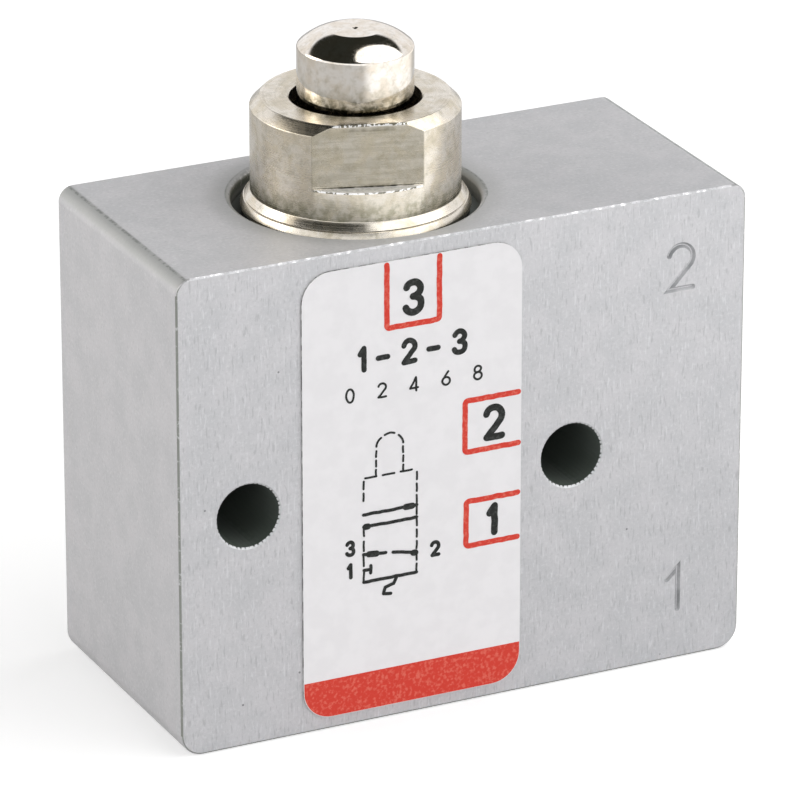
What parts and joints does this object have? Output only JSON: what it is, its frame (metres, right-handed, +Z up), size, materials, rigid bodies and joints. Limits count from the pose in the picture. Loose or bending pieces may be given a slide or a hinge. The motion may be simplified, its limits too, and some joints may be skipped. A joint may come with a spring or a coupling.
{
  "type": "plunger valve",
  "caption": "Small pneumatic 3/2 valve: flat aluminium block with two mounting holes, and a spring-returned plunger in a nickel-plated guide collar on top.",
  "frame": {"origin": "middle of the block's flat base, in the plane of the valve's axis", "axes": "+Z up along the plunger's axis, +X to the right along the front face towards the ports, +Y from the labelled front face to the back"},
  "size_m": [0.04, 0.0187, 0.0436],
  "materials": {
    "anodised_aluminium": "matte silver anodised",
    "nickel_plated_brass": "turned and nickel plated",
    "polished_nickel": "turned, polished and nickel plated",
    "vinyl_label": "printed vinyl film",
    "machined_brass": "turned",
    "stainless_steel": "ground",
    "spring_steel": "drawn wire",
    "nitrile_rubber": "moulded"
  },
  "bodies": {
    "valve_body": {"body_block": "anodised_aluminium", "front_label": "vinyl_label", "guide_collar": "nickel_plated_brass", "collar_gasket": "nitrile_rubber", "seal_retainer": "machined_brass", "stem_guide": "machined_brass", "stem_oring": "nitrile_rubber", "guide_oring": "nitrile_rubber", "spacer_cage": "machined_brass", "seat_insert": "machined_brass", "seat_oring": "nitrile_rubber", "return_spring": "spring_steel", "poppet_spring": "spring_steel"},
    "plunger": {"plunger": "polished_nickel", "valve_stem": "stainless_steel"},
    "poppet": {"poppet_carrier": "machined_brass", "poppet_disc": "nitrile_rubber"}
  },
  "joints": [
    {"name": "plunger_press", "type": "slide", "parent": "valve_body", "child": "plunger", "axis": [0, 0, -1], "range_m": [0, 0.003], "stiffness_N_per_m": 1500, "springref_m": -0.003, "deforming": ["return_spring"]},
    {"name": "poppet_lift", "type": "slide", "parent": "valve_body", "child": "poppet", "axis": [0, 0, -1], "range_m": [0, 0.0018], "deforming": ["poppet_spring"]}
  ],
  "couplings": [
    {"joint": "poppet_lift", "follows": "plunger_press", "ratio": 0.6}
  ]
}
